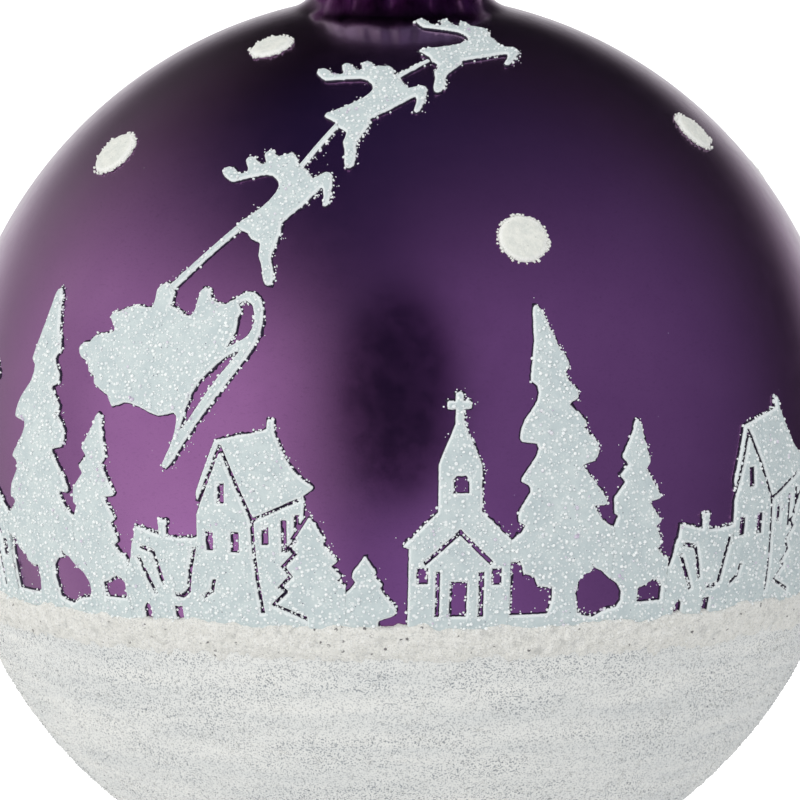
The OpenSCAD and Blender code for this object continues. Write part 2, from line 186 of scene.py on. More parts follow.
def outward(points, faces):
    """The faces, all turned over if together they enclose a negative volume."""
    volume = 0.0
    for f in faces:
        for k in range(1, f.shape[1] - 1):
            a, b, c = points[f[:, 0]], points[f[:, k]], points[f[:, k + 1]]
            volume += (a * np.cross(b, c)).sum()
    return faces if volume > 0 else [f[:, ::-1] for f in faces]


def ring_quads(rows, columns, start=0, wrap=False):
    """Quads between neighbouring rings of a grid, and from the last ring to the first."""
    number = start + np.arange(rows * columns).reshape(rows, columns)
    low = number if wrap else number[:-1]
    high = np.roll(number, -1, 0) if wrap else number[1:]
    return np.stack([low, np.roll(low, -1, 1), np.roll(high, -1, 1), high], -1).reshape(-1, 4)


def grid_quads(number):
    """Quads between neighbouring places of a grid of point numbers."""
    return np.stack([number[:-1, :-1], number[:-1, 1:], number[1:, 1:], number[1:, :-1]],
                    -1).reshape(-1, 4)


def open_edges(edges, count):
    """The edges, given as pairs of point numbers, that none runs along the other way."""
    ahead = edges[:, 0].astype(np.int64) * count + edges[:, 1]
    behind = edges[:, 1].astype(np.int64) * count + edges[:, 0]
    return edges[~np.isin(ahead, behind)]


def with_poles(rings, first, last):
    """A closed surface: rings of points from one pole to the other, each a row."""
    rows, columns = rings.shape[:2]
    points = np.vstack([first, rings.reshape(-1, 3), last])
    around = np.arange(columns)
    ahead = np.roll(around, -1)
    top = 1 + (rows - 1) * columns
    end = np.full(columns, len(points) - 1)
    fans = np.vstack([np.stack([np.zeros(columns, int), 1 + ahead, 1 + around], 1),
                      np.stack([top + around, top + ahead, end], 1)])
    faces = [ring_quads(rows, columns, 1), fans]
    return points, outward(points, faces)


def turned(profile, columns):
    """A profile of (radius, height) points turned round Z; its ends lie on the axis."""
    rings = polar(profile[1:-1, :1], full_turn(columns), profile[1:-1, 1:])
    return with_poles(rings, [0, 0, profile[0, 1]], [0, 0, profile[-1, 1]])


def lattice_noise(points, cell, seed):
    """Noise from -1 to 1: random values on a cubic lattice, blended with a cubic ease."""
    place = points / cell + 517.3
    base = np.floor(place).astype(np.int64)
    part = place - base
    part = part * part * (3 - 2 * part)
    total = np.zeros(len(points))
    for corner in np.ndindex(2, 2, 2):
        at = base + np.array(corner)
        code = at[:, 0] * 73856093 ^ at[:, 1] * 19349663 ^ at[:, 2] * 83492791
        code = (code ^ seed * 668265263) & 0xFFFFFFFF
        code = (code ^ (code >> 15)) * 2246822519 & 0xFFFFFFFF
        code = (code ^ (code >> 13)) * 3266489917 & 0xFFFFFFFF
        value = ((code ^ (code >> 16)) & 0xFFFF) / 32767.5 - 1
        weight = np.where(corner, part, 1 - part).prod(1)
        total += weight * value
    return total


def noises(points, *layers):
    """A sum of noises, each given as its height, its cell and its seed."""
    return sum(height * lattice_noise(points, cell, seed) for height, cell, seed in layers)


def longitude(points):
    """Degrees round the ball from the front, towards +X."""
    return np.degrees(np.arctan2(points[:, 0], -points[:, 1]))


def spun(points, degrees):
    """The points turned about Z."""
    a = np.radians(degrees)
    turn = np.array([[np.cos(a), np.sin(a), 0], [-np.sin(a), np.cos(a), 0], [0, 0, 1]])
    return points @ turn


# ---------------- the prints' relief

def islands(count, edges):
    """For each corner the lowest number it is joined to, passed along the edges."""
    label = np.arange(count)
    while True:
        low = label[edges].min(1)
        new = label.copy()
        np.minimum.at(new, edges[:, 0], low)
        np.minimum.at(new, edges[:, 1], low)
        new = new[new]
        if (new == label).all():
            return label
        label = new


def rims_of(node, thickness):
    """The rims of a print's outer faces: for each copy the starts and ends of its edges
    and which of them go round a hole.

    The outer faces are the triangles that lie high and face away from the ball. The
    rim is made of their edges that no neighbour runs along the other way, and a loop
    of them that runs clockwise is a hole's."""
    mesh = nodes[node].data
    mesh.calc_loop_triangles()
    where = np.empty(3 * len(mesh.vertices), np.float32)
    mesh.vertices.foreach_get("co", where)
    triangles = np.empty(3 * len(mesh.loop_triangles), np.int32)
    mesh.loop_triangles.foreach_get("vertices", triangles)
    corner, index = np.unique(where.reshape(-1, 3), axis=0, return_inverse=True)
    corner = corner.astype(float) / MM - UP
    triangles = index.ravel()[triangles].reshape(-1, 3)
    shape = corner[triangles]
    normal = np.cross(shape[:, 1] - shape[:, 0], shape[:, 2] - shape[:, 0])
    middle = shape.mean(1)
    size = np.linalg.norm(normal, axis=1) * np.linalg.norm(middle, axis=1)
    facing = (normal * middle).sum(1) > 0.7 * size
    high = np.linalg.norm(shape, axis=2).min(1) > BALL + FILM_GAP + 0.6 * thickness
    triangles = triangles[facing & high]
    edges = np.vstack([triangles[:, [0, 1]], triangles[:, [1, 2]], triangles[:, [2, 0]]])
    rim = open_edges(edges, len(corner))
    label = islands(len(corner), edges)[rim[:, 0]]
    start, end = corner[rim[:, 0]], corner[rim[:, 1]]
    found = []
    for one in np.unique(label):
        mine = label == one
        loop = islands(len(corner), rim[mine])[rim[mine, 0]]
        middle = start[mine].mean(0)
        swept = np.cross(start[mine] - middle, end[mine] - middle) @ middle
        area = np.bincount(loop, swept, len(corner))[loop]
        found.append((start[mine], end[mine], area < 0))
    return found


def axes_at(points):
    """East, north and outward directions at the middle of some points on the ball."""
    out = unit(points.mean(0))
    east = unit(np.cross([0, 0, 1], out))
    return np.array([east, np.cross(out, east), out])


def flat(points, axes):
    """A piece of the ball laid flat: longitude and latitude about its middle, in mm."""
    local = points @ axes.T
    rise = np.arcsin(local[:, 1] / np.linalg.norm(local, axis=1))
    return BALL * np.stack([np.arctan2(local[:, 0], local[:, 2]), rise], 1)


def lifted(uv, radius, axes):
    """Flat places put back on a ball of this radius."""
    a, b = (uv / BALL).T
    local = np.stack([np.sin(a) * np.cos(b), np.sin(b), np.cos(a) * np.cos(b)], 1)
    return (local * np.reshape(radius, (-1, 1))) @ axes


def inside_grid(u, v, start, end):
    """Which grid places lie inside a rim: those with an odd number of crossings."""
    rows = v[:, None]
    crosses = (start[:, 1] > rows) != (end[:, 1] > rows)
    row, edge = np.nonzero(crosses)
    a, b = start[edge], end[edge]
    at = a[:, 0] + (v[row] - a[:, 1]) * (b[:, 0] - a[:, 0]) / (b[:, 1] - a[:, 1])
    count = np.zeros((len(v), len(u) + 1), int)
    np.add.at(count, (row, np.searchsorted(u, at)), 1)
    return np.cumsum(count, 1)[:, :-1] % 2 == 1


def to_edges(points, start, end):
    """For every point and edge, where along the edge its nearest place is, as a share,
    and the square of the distance to it."""
    along = end - start
    reach = points[:, None] - start
    share = np.clip((reach * along).sum(2) / (along ** 2).sum(1), 0, 1)
    return share, ((reach - share[..., None] * along) ** 2).sum(2)


def to_rim(places, start, end, free):
    """For each place the nearest rim point, which edge that is on, and how far the
    nearest free edge is."""
    near, which, free_gap = [], [], []
    for some in np.array_split(places, len(places) // 1500 + 1):
        share, gap = to_edges(some, start, end)
        best = gap.argmin(1)
        share = share[np.arange(len(some)), best][:, None]
        near.append(start[best] + share * (end - start)[best])
        which.append(best)
        free_gap.append(np.sqrt(gap[:, free].min(1)))
    return np.vstack(near), np.concatenate(which), np.concatenate(free_gap)


def rough_edges(start, end, hole):
    """Which edges came out rough, and every edge's direction away from the print: the
    sifted beads caught on edges that face up or right, in holes down or right."""
    along = end - start
    away = unit(np.stack([along[:, 1], -along[:, 0]], 1))
    return away @ [0.6, 0.8] * ~hole + away @ [0.7, -0.7] * hole > 0.05, away


def relief(rim, free, axes, seed):
    """A print's grid: flat places, quads, and how far each place is inside the rim.

    Grid places just outside the rim move onto the glue line, a wavering distance
    outside the nearest rim point, so the outline is followed exactly."""
    a, b = flat(rim[0], axes), flat(rim[1], axes)
    rough, _ = rough_edges(a, b, rim[2])
    low, high = a.min(0) - 2 * STEP, a.max(0) + 2 * STEP
    u = np.arange(low[0], high[0] + STEP, STEP)
    v = np.arange(low[1], high[1] + STEP, STEP)
    inside = inside_grid(u, v, a, b).ravel()
    places = np.stack(np.meshgrid(u, v), -1).reshape(-1, 2)
    number = np.arange(len(places)).reshape(len(v), len(u))
    quads = grid_quads(number)
    quads = quads[inside[quads].any(1)]
    used, quads = np.unique(quads, return_inverse=True)
    quads = quads.reshape(-1, 4)
    inside = inside[used]
    places = places[used]
    near, which, inset = to_rim(places, a, b, free)
    is_free = free[which]
    away = places - near
    away = away / np.maximum(np.linalg.norm(away, axis=1), 1e-9)[:, None]
    waver = 1 + 0.7 * lattice_noise(np.c_[near, 0 * near[:, 0]], 0.33, seed)
    glue = np.where(is_free, waver * (GLUE_W + ROUGH_W * rough[which]), 0)
    places = np.where(inside[:, None], places, near + away * glue[:, None])
    # places on the glue line get -GLUE_W, which the paste paints dark as contact shade
    inset = np.where(inside | ~is_free, inset, -GLUE_W)
    return places, quads, inset


def closed_sheet(where, height, quads):
    """Paste on the ball: a grid at its heights, the same grid just under the lacquer's
    surface, and walls along the edges that only one quad has."""
    where = where / BALL
    count = len(where)
    rim = open_edges(np.vstack([quads[:, [k, (k + 1) % 4]] for k in range(4)]), count)
    walls = np.stack([rim[:, 1], rim[:, 0], rim[:, 0] + count, rim[:, 1] + count], 1)
    points = np.vstack([where * (BALL + height)[:, None], where * (BALL - SUNK)])
    return points, np.vstack([quads, quads[:, ::-1] + count, walls])


def joined(sheets):
    """Several sheets as one, with their faces numbered on."""
    first = np.cumsum([0] + [len(points) for points, _ in sheets])
    return (np.vstack([points for points, _ in sheets]),
            np.vstack([faces + k for (_, faces), k in zip(sheets, first)]))


def paste_height(points, inset, thickness, shoulder, seed):
    """Height over the ball: a quarter round from the glue line up to the print's
    thickness, with the paste's soft lumps on top."""
    share = np.clip(inset / shoulder, 0, 1)
    rise = np.sqrt(1 - (1 - share) ** 2)
    lumps = noises(points, (0.035, 1.1, seed), (0.03, 0.45, seed))
    return GLUE_H + (thickness + FILM_GAP - GLUE_H - 0.03) * rise + lumps * share


def on_rims(points, others):
    """Which points lie on the rim of one of the other prints."""
    found = np.zeros(len(points), bool)
    for start, end, _ in others:
        found |= to_edges(points, start, end)[1].min(1) < 0.03 ** 2
    return found


# ---------------- shader helpers

def feed(tree, socket, value):
    """Links a socket to another node's output, or sets its own value."""
    if isinstance(value, bpy.types.NodeSocket):
        tree.links.new(value, socket)
    else:
        socket.default_value = value


def node(tree, kind, values=None, **settings):
    """A new shader node with its settings and its sockets' values or links."""
    made = tree.nodes.new(kind)
    for key, value in settings.items():
        setattr(made, key, value)
    for key, value in (values or {}).items():
        feed(tree, made.inputs[key], value)
    return made


def blend(tree, share, first, second):
    """One colour turning into another."""
    made = node(tree, "ShaderNodeMix", {0: share, 6: first, 7: second}, data_type="RGBA")
    return made.outputs[2]


def ramp(tree, value, a, b, low=0.0, high=1.0):
    """A value taken smoothly from low to high as it goes from a to b."""
    made = node(tree, "ShaderNodeMapRange", {0: value, 1: a, 2: b, 3: low, 4: high},
                interpolation_type="SMOOTHSTEP")
    return made.outputs[0]


def maths(tree, operation, first, second=0.0):
    """Two values put through one sum."""
    return node(tree, "ShaderNodeMath", {0: first, 1: second}, operation=operation).outputs[0]


def times(tree, total, *values):
    """Values multiplied."""
    for value in values:
        total = maths(tree, "MULTIPLY", total, value)
    return total


def new_group(name, inputs, outputs):
    """A node group with named number sockets, and the two ends to link to them."""
    tree = bpy.data.node_groups.new(name, "ShaderNodeTree")
    for side, keys in (("INPUT", inputs), ("OUTPUT", outputs)):
        for key in keys:
            tree.interface.new_socket(key, in_out=side, socket_type="NodeSocketFloat")
    given = tree.nodes.new("NodeGroupInput")
    put = tree.nodes.new("NodeGroupOutput")
    return tree, given.outputs, put.inputs


def specks_group():
    """Separate round specks: Mask is 1 inside a share of the cells of a cell pattern,
    and Chance is a different value for each cell. Per mm is the number of cells."""
    tree, given, put = new_group("specks", ("Per mm", "Share", "Radius"), ("Mask", "Chance"))
    place = node(tree, "ShaderNodeTexCoord").outputs["Object"]
    scale = times(tree, given["Per mm"], 1000.0)
    cells = node(tree, "ShaderNodeTexVoronoi", {"Vector": place, "Scale": scale})
    parts = node(tree, "ShaderNodeSeparateColor", {0: cells.outputs["Color"]})
    chosen = maths(tree, "LESS_THAN", parts.outputs[0], given["Share"])
    soft = times(tree, given["Radius"], 0.55)
    near = ramp(tree, cells.outputs["Distance"], given["Radius"], soft)
    feed(tree, put["Mask"], times(tree, chosen, near))
    feed(tree, put["Chance"], parts.outputs[1])
    return tree


def grain_group():
    """Cloudy variation about the middle: Value runs from 0 to 1. Per mm is how many
    clouds there are, and Stretch is how much flatter than wide they lie."""
    tree, given, put = new_group("grain", ("Per mm", "Detail", "Stretch"), ("Value",))
    place = node(tree, "ShaderNodeTexCoord").outputs["Object"]
    factor = node(tree, "ShaderNodeCombineXYZ", {0: 1.0, 1: 1.0, 2: given["Stretch"]})
    laid = node(tree, "ShaderNodeVectorMath", {0: place, 1: factor.outputs[0]},
                operation="MULTIPLY")
    scale = times(tree, given["Per mm"], 1000.0)
    cloud = node(tree, "ShaderNodeTexNoise",
                 {"Vector": laid.outputs[0], "Scale": scale, "Detail": given["Detail"],
                  "Roughness": 0.6})
    feed(tree, put["Value"], ramp(tree, cloud.outputs[0], 0.25, 0.75))
    return tree


SPECKS = specks_group()
GRAIN = grain_group()


def specks(tree, per_mm, share, radius):
    """The mask and the chance of a speck pattern."""
    made = node(tree, "ShaderNodeGroup", {"Per mm": per_mm, "Share": share, "Radius": radius},
                node_tree=SPECKS)
    return made.outputs["Mask"], made.outputs["Chance"]


def grain(tree, per_mm, detail=3.0, stretch=1.0):
    """The value of a cloud pattern."""
    made = node(tree, "ShaderNodeGroup", {"Per mm": per_mm, "Detail": detail, "Stretch": stretch},
                node_tree=GRAIN)
    return made.outputs["Value"]


def finish(name, **plain):
    """A material with one Principled shader; plain values go on its own sockets."""
    made = bpy.data.materials.new(name)
    made.use_nodes = True
    tree = made.node_tree
    tree.nodes.clear()
    shader = node(tree, "ShaderNodeBsdfPrincipled")
    for key, value in plain.items():
        shader.inputs[key.replace("_", " ")].default_value = value
    node(tree, "ShaderNodeOutputMaterial", {"Surface": shader.outputs[0]})
    return made, tree, shader


def given_by(tree, name):
    """A piece's own attribute."""
    return node(tree, "ShaderNodeAttribute", attribute_name=name).outputs["Fac"]


def surface(tree, shader, colour, share, low, high):
    """What varies over a finish: its colour, and a roughness from low to high."""
    feed(tree, shader.inputs["Base Color"], colour)
    feed(tree, shader.inputs["Roughness"], ramp(tree, share, 0, 1, low, high))


def bump(tree, shader, height, strength, distance):
    """Small relief: the height, in shares of a distance in mm."""
    made = node(tree, "ShaderNodeBump",
                {"Strength": strength, "Distance": distance * MM, "Height": height})
    feed(tree, shader.inputs["Normal"], made.outputs[0])


def rgb(red, green, blue):
    """An opaque colour."""
    return (red, green, blue, 1.0)


# ---------------- finishes

def purple_lacquer():
    """Transparent purple lacquer over a mirror: a deep metallic with a soft blurred
    gloss, faint clouds, and a few specks of dust and stray glitter."""
    made, tree, shader = finish("purple_lacquer", Metallic=1.0, Coat_Weight=0.45,
                                Coat_Roughness=0.12)
    clouds = grain(tree, 0.06, 4.0)
    colour = blend(tree, clouds, rgb(0.235, 0.082, 0.25), rgb(0.27, 0.102, 0.28))
    fine = ramp(tree, grain(tree, 2.2, 3.0, 2.5), 0.35, 0.0, 0.0, 0.3)
    colour = blend(tree, fine, colour, rgb(0.16, 0.052, 0.175))
    dust, chance = specks(tree, 0.9, 0.035, 0.09)
    colour = blend(tree, times(tree, dust, chance), colour, rgb(0.7, 0.55, 0.72))
    pits, _ = specks(tree, 1.3, 0.006, 0.1)
    colour = blend(tree, times(tree, pits, 0.5), colour, rgb(0.03, 0.01, 0.04))
    surface(tree, shader, colour, grain(tree, 0.4), 0.21, 0.26)
    bump(tree, shader, grain(tree, 5.0, 2.0), 0.04, 0.02)
    return made


def glitter_paste():
    """Pale silver paste full of glass beads: round white specks, some dark pits, a painted
    highlight on its rounded rim and painted contact shade in a thin dark glue line round it."""
    made, tree, shader = finish("glitter_paste", Specular_IOR_Level=0.5, Coat_Roughness=0.2)
    clouds = grain(tree, 0.5, 5.0)
    colour = blend(tree, clouds, rgb(0.5, 0.575, 0.59), rgb(0.6, 0.67, 0.67))
    big, luck = specks(tree, 1.7, 0.75, 0.42)
    small, _ = specks(tree, 3.1, 0.5, 0.45)
    beads = maths(tree, "MAXIMUM", times(tree, big, luck), times(tree, small, 0.5))
    colour = blend(tree, beads, colour, rgb(0.92, 0.95, 0.94))
    pits, _ = specks(tree, 2.3, 0.07, 0.22)
    colour = blend(tree, pits, colour, rgb(0.2, 0.2, 0.25))
    inset = given_by(tree, "inset")
    # painted highlight: a bright band along the rounded rim, where the edge would catch the light
    rim = times(tree, ramp(tree, inset, 0.3, 0.1), 0.85)
    colour = blend(tree, rim, colour, rgb(0.86, 0.9, 0.9))
    # painted shade: the glue foot just outside the rim is darkened as contact shade where the
    # paste meets the lacquer
    glue = ramp(tree, inset, 0.03, -0.03)
    colour = blend(tree, glue, colour, rgb(0.02, 0.01, 0.035))
    surface(tree, shader, colour, beads, 0.5, 0.15)
    feed(tree, shader.inputs["Coat Weight"], times(tree, beads, 0.8))
    fine = times(tree, grain(tree, 5.0, 2.0), 0.25)
    bump(tree, shader, maths(tree, "ADD", beads, fine), 0.6, 0.12)
    return made


def glass_beads():
    """Loose clear beads, milky where they catch the light."""
    made, tree, shader = finish("glass_bead", Coat_Weight=1.0, Coat_Roughness=0.05,
                                Specular_IOR_Level=0.8)
    colour = blend(tree, grain(tree, 1.2, 1.0), rgb(0.78, 0.83, 0.84), rgb(0.98, 1.0, 0.99))
    tint, chance = specks(tree, 0.8, 0.2, 0.6)
    colour = blend(tree, times(tree, tint, chance), colour, rgb(0.6, 0.5, 0.66))
    surface(tree, shader, colour, grain(tree, 3.0), 0.1, 0.3)
    return made


def snow_paste():
    """Thick cream paste, rough as wet sugar, with painted shade in its low hollows and
    in the small dark pits between its lumps.
    """
    made, tree, shader = finish("snow_paste", Specular_IOR_Level=0.4)
    clouds = grain(tree, 0.8, 5.0)
    colour = blend(tree, clouds, rgb(0.82, 0.81, 0.76), rgb(0.94, 0.93, 0.89))
    # painted shade: where the lumps dip low, the paste is darkened to grey
    height = given_by(tree, "lump")
    colour = blend(tree, ramp(tree, height, -0.1, -0.9, 0, 0.35), colour, rgb(0.45, 0.46, 0.46))
    fine = ramp(tree, grain(tree, 4.2, 2.0), 0.45, 0.1, 0, 0.5)
    colour = blend(tree, fine, colour, rgb(0.52, 0.53, 0.52))
    # painted shade: small ragged pits between the lumps are painted near black
    pits, _ = specks(tree, 1.3, 0.16, 0.34)
    ragged = ramp(tree, grain(tree, 3.0, 2.0), 0.45, 0.65)
    pits = times(tree, pits, ragged)
    colour = blend(tree, times(tree, pits, 0.9), colour, rgb(0.12, 0.11, 0.12))
    glints, _ = specks(tree, 3.2, 0.4, 0.42)
    colour = blend(tree, times(tree, glints, 0.8), colour, rgb(0.98, 0.98, 0.96))
    surface(tree, shader, colour, glints, 0.75, 0.25)
    rough = maths(tree, "ADD", grain(tree, 3.5, 6.0), times(tree, pits, -0.5))
    bump(tree, shader, rough, 0.8, 0.16)
    return made


def snow_grit():
    """Fine white grit sprayed in level bands: pale grains with grey-blue gaps between
    them, greyer in random patches."""
    made, tree, shader = finish("snow_grit", Specular_IOR_Level=0.45)
    bands = grain(tree, 0.05, 3.0, 9.0)
    colour = blend(tree, bands, rgb(0.73, 0.745, 0.735), rgb(0.85, 0.85, 0.82))
    shade = ramp(tree, grain(tree, 5.2, 1.0), 0.44, 0.12)
    patch = ramp(tree, grain(tree, 0.12, 2.0, 2.5), 0.2, 0.9, 0.55, 0.9)
    colour = blend(tree, times(tree, shade, patch), colour, rgb(0.26, 0.28, 0.31))
    glints, _ = specks(tree, 3.6, 0.25, 0.4)
    colour = blend(tree, times(tree, glints, 0.75), colour, rgb(0.95, 0.95, 0.94))
    surface(tree, shader, colour, glints, 0.8, 0.2)
    rough = maths(tree, "ADD", grain(tree, 3.4, 3.0), glints)
    bump(tree, shader, rough, 0.55, 0.1)
    return made


def snow_spot_paint():
    """Thick cream paint dabbed on in spots, grainy, with a painted highlight on its rim
    and a faint line of painted contact shade round its foot.
    """
    made, tree, shader = finish("snow_spot_paint", Specular_IOR_Level=0.4)
    clouds = grain(tree, 1.1, 5.0)
    colour = blend(tree, clouds, rgb(0.68, 0.7, 0.66), rgb(0.84, 0.84, 0.78))
    inset = given_by(tree, "inset")
    # painted highlight: the rounded rim is whitened where the edge would catch the light
    colour = blend(tree, ramp(tree, inset, 0.5, 0.1, 0, 0.7), colour, rgb(0.93, 0.93, 0.9))
    # painted shade: a dark line of contact shade where the spot's foot meets the lacquer
    colour = blend(tree, ramp(tree, inset, 0.0, -0.06), colour, rgb(0.05, 0.03, 0.07))
    pits, _ = specks(tree, 2.4, 0.1, 0.24)
    colour = blend(tree, times(tree, pits, 0.5), colour, rgb(0.35, 0.36, 0.34))
    surface(tree, shader, colour, clouds, 0.65, 0.45)
    bump(tree, shader, grain(tree, 2.6, 4.0), 0.6, 0.12)
    return made


def stamped_tin():
    """Bright stamped sheet: fine rolling lines, a slight yellowing and small rubs."""
    made, tree, shader = finish("stamped_tin", Metallic=1.0)
    clouds = grain(tree, 0.25, 4.0)
    colour = blend(tree, clouds, rgb(0.7, 0.69, 0.66), rgb(0.86, 0.86, 0.87))
    rubs, _ = specks(tree, 0.9, 0.08, 0.2)
    colour = blend(tree, times(tree, rubs, 0.5), colour, rgb(0.45, 0.44, 0.43))
    lines = grain(tree, 0.9, 4.0, 14.0)
    surface(tree, shader, colour, lines, 0.18, 0.36)
    bump(tree, shader, lines, 0.08, 0.03)
    return made


def spring_wire():
    """Drawn steel wire: bright, with faint draw marks."""
    made, tree, shader = finish("spring_wire", Metallic=1.0)
    marks = grain(tree, 3.0, 3.0, 0.2)
    colour = blend(tree, marks, rgb(0.6, 0.6, 0.62), rgb(0.82, 0.82, 0.84))
    surface(tree, shader, colour, marks, 0.14, 0.3)
    bump(tree, shader, marks, 0.06, 0.02)
    return made


def clear_glass():
    """Thin blown glass with a slow unevenness."""
    made, tree, shader = finish("clear_glass", Transmission_Weight=1.0, IOR=1.5)
    waves = grain(tree, 0.15, 2.0)
    colour = blend(tree, waves, rgb(0.9, 0.93, 0.93), rgb(0.97, 0.98, 0.98))
    surface(tree, shader, colour, waves, 0.01, 0.05)
    bump(tree, shader, waves, 0.1, 0.1)
    return made


def silver_mirror():
    """The silvering inside the glass, with faint tea-coloured clouds."""
    made, tree, shader = finish("silver_mirror", Metallic=1.0)
    clouds = grain(tree, 0.1, 5.0)
    colour = blend(tree, clouds, rgb(0.8, 0.77, 0.72), rgb(0.92, 0.92, 0.93))
    surface(tree, shader, colour, clouds, 0.16, 0.06)
    return made


LACQUER = purple_lacquer()
PASTE = glitter_paste()
BEAD = glass_beads()
BANK = snow_paste()
GRIT = snow_grit()
SPOT = snow_spot_paint()
TIN = stamped_tin()
STEEL = spring_wire()
CLEAR = clear_glass()
MIRROR = silver_mirror()


# ---------------- camera and light

def make_camera():
    """A long lens at the ball's height, tilted slightly down at it."""
    data = bpy.data.cameras.new("camera")
    data.lens = CAMERA_LENS
    data.sensor_width = 36
    data.clip_end = 20
    made = in_scene("camera", data)
    made.location = tuple(UP * MM + CAMERA_AWAY * BACK + CAMERA_RISE * ABOVE)
    made.rotation_euler = (np.pi / 2 - CAMERA_TILT, 0, 0)
    scene.camera = made


def part_of(tree, direction, axis):
    """How far a direction goes along an axis."""
    made = node(tree, "ShaderNodeVectorMath", {0: direction, 1: tuple(axis)},
                operation="DOT_PRODUCT")
    return made.outputs["Value"]


def make_studio():
    """A white tent. What the lacquer mirrors is brightest on the left, dim on the
    right and dark above and behind, with the dark gap of the tent's front opening.
    Other surfaces are lit evenly."""
    world = bpy.data.worlds.new("studio")
    scene.world = world
    world.use_nodes = True
    world.cycles.sampling_method = "NONE"
    tree = world.node_tree
    tree.nodes.clear()
    direction = node(tree, "ShaderNodeTexCoord").outputs["Generated"]
    side = part_of(tree, direction, (1, 0, 0))
    rise = part_of(tree, direction, ABOVE)
    near = part_of(tree, direction, BACK)

    left = times(tree, ramp(tree, side, -0.05, -0.7), ramp(tree, rise, 0.98, 0.22),
                 ramp(tree, near, -1.3, 0.0))
    seam = maths(tree, "ABSOLUTE", maths(tree, "ADD", near, 0.06))
    seam = maths(tree, "MAXIMUM", ramp(tree, seam, 0.0, 0.32), ramp(tree, rise, 0.2, 0.5))
    left = times(tree, left, ramp(tree, seam, 0.0, 1.0, 0.68, 1.0))
    right = times(tree, ramp(tree, side, -0.35, 0.25), ramp(tree, near, -1.0, 0.5),
                  ramp(tree, rise, 1.15, 0.4), ramp(tree, side, 0.3, 1.0, 1.0, 0.7))
    low = times(tree, ramp(tree, rise, -0.12, -0.55), ramp(tree, near, 0.1, 0.6),
                ramp(tree, side, 0.7, 0.0))
    rear = times(tree, ramp(tree, near, -0.6, -0.95), ramp(tree, rise, 0.5, 0.1))
    across = times(tree, side, 4.2)
    upward = times(tree, maths(tree, "ADD", rise, -0.2), 2.4)
    spread = maths(tree, "ADD", times(tree, across, across), times(tree, upward, upward))
    spread = maths(tree, "POWER", spread, 0.5)
    opening = maths(tree, "MAXIMUM", ramp(tree, spread, 0.85, 1.32), ramp(tree, near, 0.0, -0.1))
    dim = times(tree, ramp(tree, near, -0.6, 0.1), 0.05,
                ramp(tree, opening, 0.0, 1.0, 0.45, 1.0))

    mirrored = blend(tree, times(tree, left, opening), rgb(0, 0, 0), rgb(1.1, 1.14, 1.06))
    for share, colour in ((times(tree, right, opening), rgb(0.4, 0.385, 0.47)),
                          (dim, rgb(0.9, 1.1, 2.0)),
                          (rear, rgb(0.9, 0.9, 0.9)),
                          (low, rgb(0.27, 0.26, 0.33))):
        lit = blend(tree, share, rgb(0, 0, 0), colour)
        mirrored = node(tree, "ShaderNodeMix", {0: 1.0, 6: mirrored, 7: lit},
                        data_type="RGBA", blend_type="ADD").outputs[2]
    path = node(tree, "ShaderNodeLightPath").outputs
    even = blend(tree, ramp(tree, side, -1, 1), rgb(1.06, 1.06, 1.05), rgb(0.76, 0.77, 0.78))
    colour = blend(tree, path["Is Glossy Ray"], even, mirrored)
    colour = blend(tree, path["Is Camera Ray"], colour, rgb(1, 1, 1))
    shader = node(tree, "ShaderNodeBackground", {"Color": colour, "Strength": 1.0})
    node(tree, "ShaderNodeOutputWorld", {"Surface": shader.outputs[0]})


def add_light(name, place, size, power):
    """A soft square light aimed at the ball, which the lacquer doesn't mirror."""
    data = bpy.data.lights.new(name, "AREA")
    data.size = size
    data.energy = power
    made = in_scene(name, data)
    made.location = place
    aim = Vector((0, 0, CENTRE_Z)) - Vector(place)
    made.rotation_euler = aim.to_track_quat("-Z", "Y").to_euler()
    made.visible_glossy = False
    made.visible_camera = False


def make_floor():
    """A pale floor well below the hanging ball."""
    made, _, shader = finish("floor_white", Emission_Strength=0.75, Roughness=0.9)
    shader.inputs["Base Color"].default_value = rgb(0.9, 0.9, 0.9)
    shader.inputs["Emission Color"].default_value = rgb(1, 1, 1)
    radius, drop, sides = 2.2, 0.145, 64
    points = polar(radius, full_turn(sides), -drop)
    mesh = bpy.data.meshes.new("floor")
    mesh.from_pydata(points.tolist(), [], [list(range(sides))])
    mesh.materials.append(made)
    floor = in_scene("floor", mesh)
    floor.visible_glossy = False
    floor.visible_diffuse = False


make_camera()
make_studio()
make_floor()
add_light("key", (-0.35, -0.55, 0.4), 0.25, 0.9)
add_light("fill", (0.6, -0.5, 0.15), 0.4, 0.4)
add_light("rear", (0.1, 0.7, 0.3), 0.4, 0.8)
scene.view_settings.view_transform = "Standard"


# ---------------- glass and metal

def bulb_profile(radius, neck, flare, top):
    """Half the outline of a ball with a neck: the ball's arc up to where the flare
    touches it, the flare's own arc, and the straight neck."""
    centre = np.array([neck + flare, np.sqrt((radius + flare) ** 2 - (neck + flare) ** 2)])
    tilt = np.arctan2(centre[1], centre[0])
    ball = radius * arc(-np.pi / 2, tilt, 150)
    ball[0, 0] = 0
    flared = centre + flare * arc(np.pi + tilt, np.pi, 14)[1:]
    return np.vstack([ball, flared, [[neck, top]]])


def make_lacquer():
    """The lacquer film: two bulb outlines, one in the other, joined round the neck."""
    outer = bulb_profile(BALL, NECK + FILM_GAP + LACQUER_T, FLARE - FILM_GAP - LACQUER_T, FLARE_Z)
    inner = bulb_profile(GLASS + FILM_GAP, NECK + FILM_GAP, FLARE - FILM_GAP, FLARE_Z)
    outer = np.vstack([outer[:-1], [[outer[-1, 0], FLARE_Z - 0.02]]])
    points, faces = turned(np.vstack([outer, inner[::-1]]), 288)
    piece("lacquer_film", points, faces, "ball", "lacquer", LACQUER, ["lacquer_coat"])


